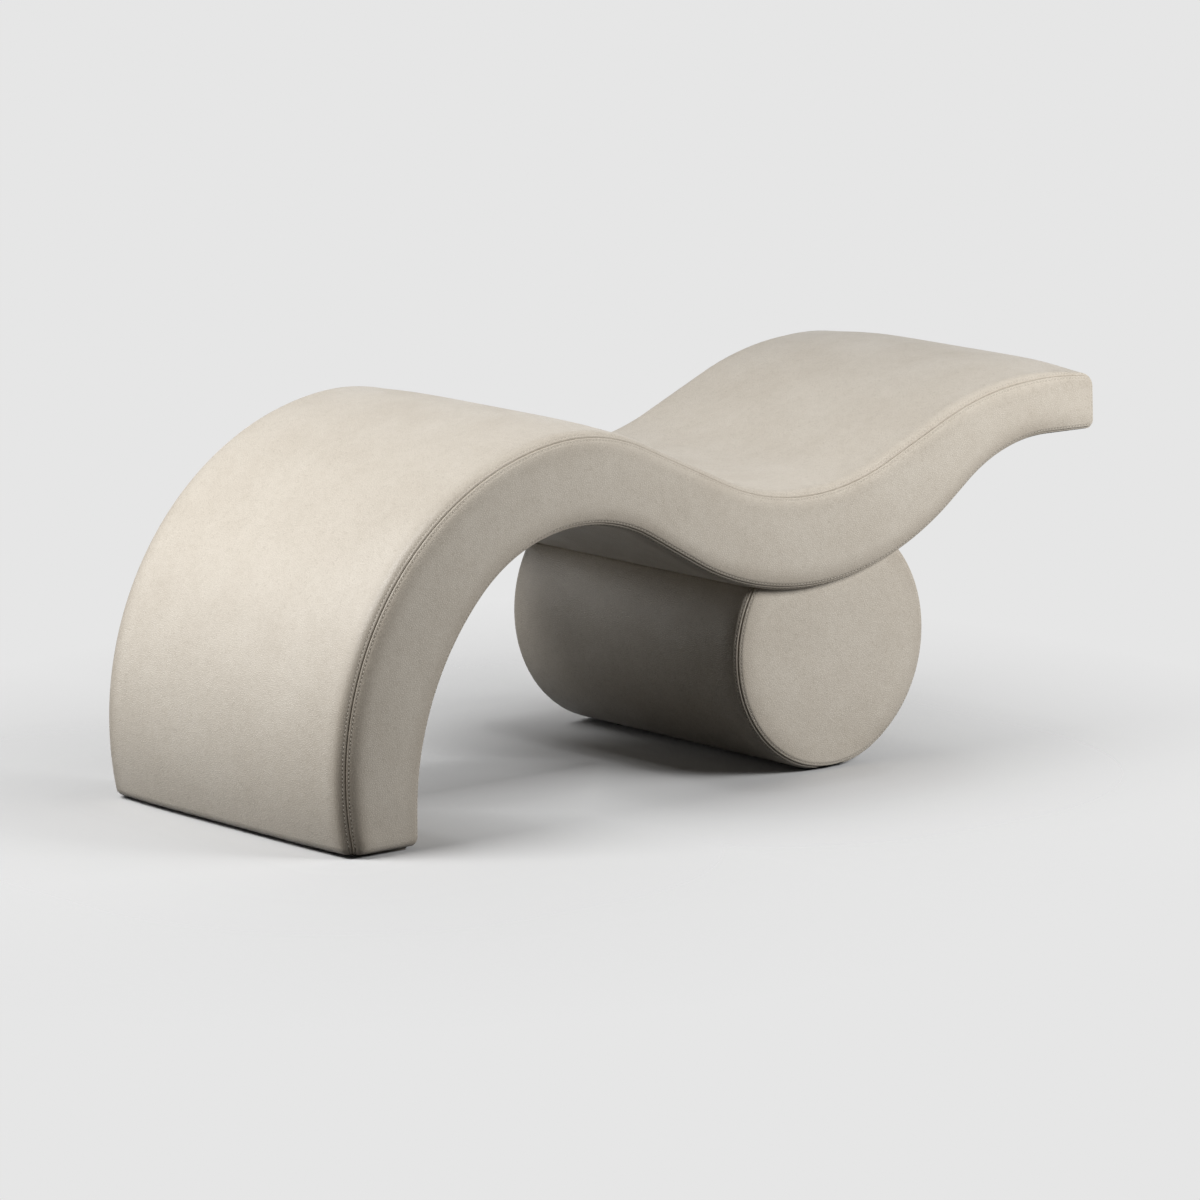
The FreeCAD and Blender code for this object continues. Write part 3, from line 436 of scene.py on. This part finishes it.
def side_panel(side):
    """An S-shaped side panel with its rolled rim, and its stitch line."""
    bm = new_panel()
    upper = TOP_END + CORNER_STEPS // 2
    across = LAST - 2 * upper

    def rim(row, ring):
        """A point on the rolled rim."""
        distance = ring_distance(ring, roll[row])
        point, normal = on_roll(row, SEAM_TURN + distance / roll[row], side)
        return point, normal, distance, draw[row]

    inner = [rim(row, rings - 1)[0] for row in range(LAST + 1)]

    def core(row, column):
        """A point of the flat middle, between the upper run of the outline and the lower one."""
        share = column / across
        chord = inner[upper].lerp(inner[upper + across], share)
        bulge = max(0, 1 - (upper - row) / (2 * CORNER_STEPS)) ** 2
        point = inner[row].lerp(inner[LAST - row], share) + (inner[upper + column] - chord) * bulge
        edge = row if share < 0.5 else LAST - row
        distance = (point - inner[edge]).length + roll[edge] * SEAM_TURN
        return point, Vector((0, side, 0)), distance, draw[edge]

    laid = lay_sheet(bm, LAST + 1, rings, rim)
    lay_sheet(bm, upper + 1, across + 1, core)
    bmesh.ops.remove_doubles(bm, verts=bm.verts, dist=MERGE_GAP)
    return bm, laid[STITCH_RING]


def face_out(bm):
    """Turn the faces to the panel's outward side."""
    normal = bm.verts.layers.float_vector["outward"]
    bm.normal_update()
    for face in bm.faces:
        if face.normal.dot(face.verts[0][normal]) < 0:
            face.normal_flip()


def swell(bm, fullness, rests):
    """Let pressure round the panel where neither a seam nor what it rests on holds it."""
    seam = bm.verts.layers.float["from_seam"]
    bm.verts.index_update()
    mesh = bpy.data.meshes.new("swelling")
    bm.to_mesh(mesh)
    pad = bpy.data.objects.new("swelling", mesh)
    scene.collection.objects.link(pad)
    held = [vert.index for vert in bm.verts if vert[seam] < PIN_REACH or rests(vert.co)]
    pad.vertex_groups.new(name="held").add(held, 1, "REPLACE")
    cloth = pad.modifiers.new("cloth", "CLOTH")
    cloth.settings.vertex_group_mass = "held"
    cloth.settings.use_pressure = True
    cloth.settings.uniform_pressure_force = SWELL_PRESSURE
    cloth.settings.effector_weights.gravity = 0
    cloth.point_cache.frame_end = SWELL_FRAMES
    for moment in range(1, SWELL_FRAMES + 1):
        scene.frame_set(moment)
    moved = pad.evaluated_get(bpy.context.evaluated_depsgraph_get()).to_mesh()
    shifts = [after.co - before.co for after, before in zip(moved.vertices, bm.verts)]
    largest = max(shift.length for shift in shifts)
    for vert, shift in zip(bm.verts, shifts):
        vert.co += shift * min(1, fullness / largest)
    bpy.data.objects.remove(pad)
    bpy.data.meshes.remove(mesh)
    scene.frame_set(1)


def turn_hem(bm):
    """Roll the lower edge of the leather under the foot and in."""
    normal = bm.verts.layers.float_vector["outward"]
    edges = [edge for edge in bm.edges
             if edge.is_boundary and all(vert.co.z < foot + MERGE_GAP for vert in edge.verts)]
    turns = [math.radians(angle) for angle in HEM_TURNS]
    moves = [(HEM_ROLL * (math.cos(a) - math.cos(b)), HEM_ROLL * (math.sin(b) - math.sin(a)))
             for a, b in zip(turns, turns[1:])]
    for inset, drop in moves + [(HEM_WIDTH, 0)]:
        made = bmesh.ops.extrude_edge_only(bm, edges=edges)["geom"]
        fresh = {item for item in made if isinstance(item, bmesh.types.BMVert)}
        edges = [item for item in made
                 if isinstance(item, bmesh.types.BMEdge) and fresh.issuperset(item.verts)]
        for vert in fresh:
            inward = Vector((-vert[normal].x, -vert[normal].y, 0)).normalized()
            vert.co += inset * inward - Vector((0, 0, drop))


def close_panel(bm, depth):
    """Give the panel its skin and foam, then press in the seam and its stitch lines."""
    normal = bm.verts.layers.float_vector["outward"]
    seam = bm.verts.layers.float["from_seam"]
    drawn = bm.verts.layers.float["drawn_in_and_shade"]
    face_out(bm)
    outer = list(bm.verts)
    bmesh.ops.solidify(bm, geom=bm.faces[:], thickness=SKIN)
    for vert in set(bm.verts) - set(outer):
        if vert[seam] > TOP_ROLL:
            vert.co -= (depth - SKIN) * vert[normal]
    for vert in outer:
        pinch = PINCH_DEPTH * vert[drawn] * math.exp(-(vert[seam] / PINCH_WIDTH) ** 2)
        fold = FOLD_DEPTH * math.exp(-(vert[seam] / FOLD_WIDTH) ** 2)
        from_row = (vert[seam] - STITCH_ROW) / STITCH_DIP_WIDTH
        vert.co -= (pinch + fold + STITCH_DIP * math.exp(-from_row ** 2)) * vert[normal]
    bm.normal_update()
    for face in bm.faces:
        face.smooth = True


def stitch_line(verts):
    """Points and outward directions along one row of stitches."""
    return np.array([vert.co for vert in verts]), np.array([vert.normal for vert in verts])


def add_piece(name, bm, material, slot, *nodes):
    """Make the piece's object, put it on the bed and let it stand for its solids."""
    mesh = bpy.data.meshes.new(name)
    bm.to_mesh(mesh)
    bm.free()
    mesh.materials.append(material)
    piece = bpy.data.objects.new(name, mesh)
    scene.collection.objects.link(piece)
    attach(piece, "bed")
    if nodes:
        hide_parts(*nodes)
    return piece


def add_cover(name, bm, *nodes):
    """Put a leather cover on the bed in place of its solid cover and foam."""
    add_piece(name, bm, leather, "leather", *nodes)


DRUM_LOW, DRUM_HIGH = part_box("base_cover_barrel")
DRUM_RADIUS = (DRUM_HIGH.x - DRUM_LOW.x) / 2
DRUM_AXIS = np.array([DRUM_LOW.x + DRUM_RADIUS, DRUM_RADIUS])


def on_floor(point):
    """Whether a point is at the foot, which the floor holds."""
    return point.z < foot + FOOT_HOLD


def on_drum(point):
    """Whether a point of the wave rests on the drum or on the floor."""
    reach = np.hypot(point.x - DRUM_AXIS[0], point.z - DRUM_AXIS[1])
    return reach < DRUM_RADIUS + PIN_REACH or on_floor(point)


def shape_panel(bm, fullness, rests, depth, hemmed):
    """Swell a panel, turn its hem in and close it round its foam."""
    face_out(bm)
    swell(bm, fullness, rests)
    if hemmed:
        turn_hem(bm)
    close_panel(bm, depth)


for name, rows, fullness, depth, nodes in (
        ("top_wrap", (0, CROSS_SEAM), TOP_SWELL, TOP_FOAM, ("cover_top", "foam_top", "foam_head_end")),
        ("under_wrap", (CROSS_SEAM, LAST), UNDER_SWELL, UNDER_FOAM, ("cover_underside", "foam_under"))):
    panel, lines = wrap_panel(*rows)
    shape_panel(panel, fullness, on_drum, depth, hemmed=True)
    for word, verts in lines.items():
        stitch_rows[word].append(stitch_line(verts))
    add_cover(name, panel, *nodes)
for word, side in (("left", 1), ("right", -1)):
    panel, line = side_panel(side)
    shape_panel(panel, SIDE_SWELL, on_floor, SIDE_FOAM, hemmed=True)
    stitch_rows[word].append(stitch_line(line))
    add_cover(f"side_panel_{word}", panel, f"cover_side_{word}", f"foam_side_{word}")

# Drum covers: a barrel panel in front and one behind, tucked in under the wave and the
# board below, and a round end panel each side, sewn to them on the rolled rim.
DRUM_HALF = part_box("base_cover_end_left")[1].y
DRUM_ROLL = 0.018
SADDLE_GAP = 0.0005
# How far the drum's seam is drawn in, which also sets how strong the painted shade beside it is, and the
# heights over which that comes in.
DRUM_DRAWN = 0.40
DRAWN_FROM_Z = 0.012
DRAWN_FULL_Z = 0.050
BARREL_SWELL = 0.0015
END_SWELL = 0.002
BARREL_FOAM = 0.010
END_FOAM = 0.009
BARREL_ROWS = 80
BARREL_STEPS = 16
END_PANEL_STEPS = (90, 40, 90, 12)
END_RINGS = 13
rim_radius = DRUM_RADIUS - DRUM_ROLL
seam_radius = rim_radius + DRUM_ROLL * math.sin(SEAM_TURN)
saddle = outline[UNDER_START:] - DRUM_AXIS
saddle_reach = np.hypot(*saddle.T) - SADDLE_GAP
saddle_turn = np.arctan2(saddle[:, 1], saddle[:, 0])
over = (saddle[:, 1] > 0) & (saddle_reach < 2 * DRUM_RADIUS)
saddle_reach, saddle_turn = saddle_reach[over], saddle_turn[over]


def drum_corners(radius):
    """Directions where a circle on the drum meets the floor and the wave, behind and in front."""
    low = int(np.argmin(saddle_reach))
    back = np.interp(-radius, -saddle_reach[:low], saddle_turn[:low])
    front = np.interp(radius, saddle_reach[low:], saddle_turn[low:])
    down = math.asin((DRUM_RADIUS - FLOOR_GAP) / radius)
    return -down, back, front, math.pi + down


def drum_point(reach, turn, y):
    """A point at a distance and direction from the drum's axis."""
    x, z = DRUM_AXIS + reach * np.array([math.cos(turn), math.sin(turn)])
    return Vector((x, y, z))


def drum_outward(turn, tilt, side):
    """Outward direction on the drum's rim, tilted from its end to its barrel."""
    return Vector((math.cos(turn) * math.sin(tilt), side * math.cos(tilt), math.sin(turn) * math.sin(tilt)))


def drum_draw(point):
    """How far the drum's seam is drawn in: alike all round, but not where the board below spreads it."""
    return DRUM_DRAWN * min(1, max(0, (point.z - DRAWN_FROM_Z) / (DRAWN_FULL_Z - DRAWN_FROM_Z)))


def barrel_panel(first):
    """The barrel panel from one of the drum's corners to the next, and its two stitch lines."""
    bm = new_panel()
    columns = 2 * (rings + BARREL_STEPS) - 1
    middle = columns // 2

    def place(row, column):
        ring = min(column, columns - 1 - column)
        side = -1 if column < middle else 1
        if ring < rings:
            distance = ring_distance(ring, DRUM_ROLL)
            tilt = SEAM_TURN + distance / DRUM_ROLL
            y = side * (DRUM_HALF - DRUM_ROLL * (1 - math.cos(tilt)))
        else:
            flat = DRUM_HALF - DRUM_ROLL
            tilt = math.pi / 2
            y = (column - middle) / BARREL_STEPS * flat
            distance = flat - abs(y) + DRUM_ROLL * SEAM_TURN
        reach = rim_radius + DRUM_ROLL * math.sin(tilt)
        start, stop = drum_corners(reach)[first:first + 2]
        turn = start + (stop - start) * row / BARREL_ROWS
        point = drum_point(reach, turn, y)
        return point, drum_outward(turn, tilt, side), distance, drum_draw(point)

    laid = lay_sheet(bm, BARREL_ROWS + 1, columns, place)
    return bm, {"right": laid[STITCH_RING], "left": laid[-1 - STITCH_RING]}


def end_panel(side):
    """A round end panel cut to the wave above and the floor below, and its stitch lines."""
    bm = new_panel()
    floor_back, back, front, floor_front = drum_corners(seam_radius)
    corners = (floor_back, back, front, floor_front, floor_back + 2 * math.pi)
    turns = np.concatenate([np.linspace(a, b, steps, endpoint=False)
                            for a, b, steps in zip(corners, corners[1:], END_PANEL_STEPS)])
    turns = np.append(turns, corners[-1])
    order = np.argsort(saddle_turn)
    tilts = [SEAM_TURN - ring_distance(ring, DRUM_ROLL) / DRUM_ROLL for ring in range(rings)]
    radii = [rim_radius + DRUM_ROLL * math.sin(tilt) for tilt in tilts]
    radii = np.concatenate([radii, rim_radius * np.linspace(1, 0, END_RINGS + 1)[1:]])

    def place(row, column):
        turn = turns[row]
        limit = seam_radius
        if back < turn < front:
            limit = min(limit, np.interp(turn, saddle_turn[order], saddle_reach[order]))
        if turn > floor_front:
            limit = min(limit, (DRUM_RADIUS - FLOOR_GAP) / -math.sin(turn))
        reach = radii[column] * limit / seam_radius
        tilt = math.asin(max(0, reach - rim_radius) / DRUM_ROLL)
        distance = DRUM_ROLL * (SEAM_TURN - tilt) + max(0, rim_radius - reach)
        y = side * (DRUM_HALF - DRUM_ROLL * (1 - math.cos(tilt)))
        point = drum_point(reach, turn, y)
        return point, drum_outward(turn, tilt, side), distance, drum_draw(point)

    laid = lay_sheet(bm, len(turns), len(radii), place)
    lines = [[vert for vert, turn in zip(laid[STITCH_RING], turns) if a <= turn <= b]
             for a, b in ((floor_back, back), (front, floor_front))]
    bmesh.ops.remove_doubles(bm, verts=bm.verts, dist=MERGE_GAP)
    return bm, lines


barrel_edges = [drum_point(DRUM_RADIUS, turn, 0) for turn in drum_corners(DRUM_RADIUS)]


def tucked_in(point):
    """Whether a point of the barrel is held at an edge that is tucked in."""
    return min(math.hypot(point.x - edge.x, point.z - edge.z) for edge in barrel_edges) < PIN_REACH


drum_rows = {"left": [], "right": []}
both = bmesh.new()
for first in (0, 2):
    panel, lines = barrel_panel(first)
    shape_panel(panel, BARREL_SWELL, tucked_in, BARREL_FOAM, hemmed=False)
    for word, verts in lines.items():
        drum_rows[word].append(stitch_line(verts))
    half = bpy.data.meshes.new("barrel_half")
    panel.to_mesh(half)
    both.from_mesh(half)
    panel.free()
    bpy.data.meshes.remove(half)
add_cover("base_barrel_cover", both, "base_cover_barrel", "base_foam_wrap")
for word, side in (("left", 1), ("right", -1)):
    panel, lines = end_panel(side)
    shape_panel(panel, END_SWELL, on_floor, END_FOAM, hemmed=False)
    for verts in lines:
        drum_rows[word].append(stitch_line([vert for vert in verts if vert.is_valid]))
    add_cover(f"base_end_{word}", panel, f"base_cover_end_{word}", f"base_foam_end_{word}")

# Seam thread: heavy upholstery thread dyed to the leather, sewn in two rows beside each
# seam. Each stitch is a short plump strand that sinks into the leather at both ends.
PITCH = 0.0075
STITCH_LENGTH = 0.0050
THREAD = 0.0008
THREAD_LIGHT = (0.640, 0.590, 0.510, 1)
THREAD_DARK = (0.540, 0.490, 0.415, 1)
SLANT = math.radians(6)
thread, tree, surface, place = new_material("thread")
twist = uneven_finish(tree, place, THREAD_LIGHT, THREAD_DARK, scale=900.0, smoothest=0.55, roughest=0.75)
tree.links.new(twist["Color"], surface.inputs["Base Color"])
tree.links.new(twist["Roughness"], surface.inputs["Roughness"])
strands = node(tree, "ShaderNodeBump", {"Height": twist["Height"], "Strength": 0.5, "Distance": 0.0002})
tree.links.new(strands.outputs["Normal"], surface.inputs["Normal"])
strand = bmesh.new()
bmesh.ops.create_uvsphere(strand, u_segments=6, v_segments=5, radius=1)
stitch = bpy.data.meshes.new("stitch")
strand.to_mesh(stitch)
strand.free()


def sew(name, rows):
    """One piece of thread along rows of stitch points."""
    bm = bmesh.new()
    for points, normals in rows:
        steps = np.linalg.norm(np.diff(points, axis=0), axis=1)
        run = np.concatenate([[0], np.cumsum(steps)])
        places = np.arange(PITCH / 2, run[-1], PITCH)
        spots, ups, ahead = (np.column_stack([np.interp(places, run, table[:, axis]) for axis in range(3)])
                             for table in (points, normals, np.gradient(points, run, axis=0)))
        for spot, up, way in zip(spots, ups, ahead):
            up = Vector(up).normalized()
            way = Matrix.Rotation(SLANT, 3, up) @ Vector(way).normalized()
            across = up.cross(way).normalized()
            matrix = Matrix((across * THREAD, up * THREAD, way * STITCH_LENGTH / 2)).transposed().to_4x4()
            matrix.translation = Vector(spot)
            sewn = stitch.copy()
            sewn.transform(matrix)
            bm.from_mesh(sewn)
            bpy.data.meshes.remove(sewn)
    for face in bm.faces:
        face.smooth = True
    add_piece(name, bm, thread, "leather")


for word in ("left", "right"):
    sew(f"wave_thread_{word}", stitch_rows[word])
    sew(f"base_thread_{word}", drum_rows[word])
bpy.data.meshes.remove(stitch)

# Studio: a pale floor that keeps the bed's shadow and fades evenly into the backdrop,
# soft lamps above, behind and to the right, a card behind on the left that only gives the
# leather its sheen, and a long lens at the photograph's angle.
BACKDROP = (0.791, 0.791, 0.791, 1)
FLOOR_SHOWN = (0.605, 0.605, 0.605, 1)
FLOOR_BOUNCE = (0.060, 0.060, 0.060, 1)
FLOOR_RADIUS = 6.0
FLOOR_SIDES = 64
# The floor shows with its shadow on rectangles under the leg and under the drum's half
# towards the arch, and more weakly on a line between them. It fades with the distance from
# these. Each is given by its middle, its half size and the distance that its fade starts with.
LEG_STAND = ((-0.826, 0, 0), (0.090, 0.355, 0), 0.0)
DRUM_STAND = ((0.180, 0, 0), (0.090, 0.335, 0), 0.0)
ARCH_SHADE = ((-0.300, 0, 0), (0.500, 0, 0), 0.10)
FADE_REACH = 1.2
FADE_STOPS = ((0.0, 0.0), (0.035, 0.02), (0.083, 0.15), (0.25, 0.42), (0.54, 0.76), (1.0, 1.0))
AMBIENT = 0.01
# Name, place, size and power of each lamp, and whether it lights and whether it shines.
LAMPS = (("key", (-3.0, 0.6, 3.2), 2.0, 180, True, True),
         ("back_left", (-3.4, 2.4, 1.4), 2.0, 15, True, False),
         ("right", (1.3, -2.9, 1.9), 1.2, 76, True, False),
         ("far_right", (2.6, -2.4, 1.6), 1.2, 46, True, False),
         ("sheen_card", (-3.6, 3.2, 2.0), 3.4, 64, False, True))
LAMP_AIM = Vector((0, 0, 0.3))
AIM = Vector((-0.0183, 0.0, 0.3082))
AZIMUTH = math.radians(-40.49)
ELEVATION = math.radians(10.78)
DISTANCE = 13.3906
LENS = 215.82
SENSOR = 36.0
FAR_CLIP = 100.0


def seen_rays(tree):
    """One for rays that show the floor or the backdrop rather than light the bed."""
    path = tree.nodes.new("ShaderNodeLightPath").outputs
    mirrored = calculated(tree, "MAXIMUM", path["Is Glossy Ray"], path["Is Transmission Ray"])
    return calculated(tree, "MAXIMUM", path["Is Camera Ray"], mirrored)


def mixed(tree, factor, first, second):
    """Two shaders mixed by a factor."""
    return node(tree, "ShaderNodeMixShader", {0: factor, 1: first, 2: second}).outputs["Shader"]


def outside(tree, place, middle, half):
    """Distance of a place from a rectangle on the floor."""
    for operation, values in (("SUBTRACT", [middle]), ("ABSOLUTE", []),
                              ("SUBTRACT", [half]), ("MAXIMUM", [(0, 0, 0)])):
        links = dict(enumerate([place, *values]))
        place = node(tree, "ShaderNodeVectorMath", links, operation=operation).outputs["Vector"]
    return node(tree, "ShaderNodeVectorMath", {0: place}, operation="LENGTH").outputs["Value"]


disc = bmesh.new()
bmesh.ops.create_circle(disc, cap_ends=True, segments=FLOOR_SIDES, radius=FLOOR_RADIUS)
mesh = bpy.data.meshes.new("floor")
disc.to_mesh(mesh)
disc.free()
floor = bpy.data.objects.new("floor", mesh)
scene.collection.objects.link(floor)
pale = bpy.data.materials.new("pale_floor")
pale.use_nodes = True
tree = pale.node_tree
tree.nodes.remove(tree.nodes["Principled BSDF"])
place = tree.nodes.new("ShaderNodeTexCoord").outputs["Object"]
nearest = FADE_REACH
for middle, half, start in (LEG_STAND, DRUM_STAND, ARCH_SHADE):
    reach = calculated(tree, "ADD", outside(tree, place, middle, half), start)
    nearest = calculated(tree, "MINIMUM", reach, nearest)
share = calculated(tree, "DIVIDE", nearest, FADE_REACH)
fade = node(tree, "ShaderNodeValToRGB", {"Fac": share})
fade.color_ramp.interpolation = "CARDINAL"
for stop, _ in FADE_STOPS[1:-1]:
    fade.color_ramp.elements.new(stop)
for element, (_, clearness) in zip(fade.color_ramp.elements, FADE_STOPS):
    element.color = (clearness, clearness, clearness, 1)
shown = node(tree, "ShaderNodeBsdfDiffuse", {"Color": FLOOR_SHOWN}).outputs["BSDF"]
bounce = node(tree, "ShaderNodeBsdfDiffuse", {"Color": FLOOR_BOUNCE}).outputs["BSDF"]
clear = tree.nodes.new("ShaderNodeBsdfTransparent").outputs["BSDF"]
looks = mixed(tree, fade.outputs["Color"], shown, clear)
tree.links.new(mixed(tree, seen_rays(tree), bounce, looks), tree.nodes["Material Output"].inputs["Surface"])
mesh.materials.append(pale)

world = bpy.data.worlds.new("studio")
scene.world = world
world.use_nodes = True
tree = world.node_tree
ambient = tree.nodes["Background"]
ambient.inputs["Color"].default_value = (1, 1, 1, 1)
ambient.inputs["Strength"].default_value = AMBIENT
backdrop = node(tree, "ShaderNodeBackground", {"Color": BACKDROP, "Strength": 1.0}).outputs["Background"]
shown = mixed(tree, seen_rays(tree), ambient.outputs["Background"], backdrop)
tree.links.new(shown, tree.nodes["World Output"].inputs["Surface"])

for name, place, size, power, lights, shines in LAMPS:
    data = bpy.data.lights.new(name, "AREA")
    data.size = size
    data.energy = power
    lamp = bpy.data.objects.new(name, data)
    lamp.location = place
    lamp.rotation_euler = (Vector(place) - LAMP_AIM).to_track_quat("Z", "Y").to_euler()
    lamp.visible_diffuse = lights
    lamp.visible_glossy = shines
    scene.collection.objects.link(lamp)

away = Vector((math.sin(AZIMUTH) * math.cos(ELEVATION),
               -math.cos(AZIMUTH) * math.cos(ELEVATION),
               math.sin(ELEVATION)))
camera = bpy.data.objects.new("camera", bpy.data.cameras.new("camera"))
camera.data.lens = LENS
camera.data.sensor_width = SENSOR
camera.data.clip_end = FAR_CLIP
camera.location = AIM + DISTANCE * away
camera.rotation_euler = away.to_track_quat("Z", "Y").to_euler()
scene.collection.objects.link(camera)
scene.camera = camera
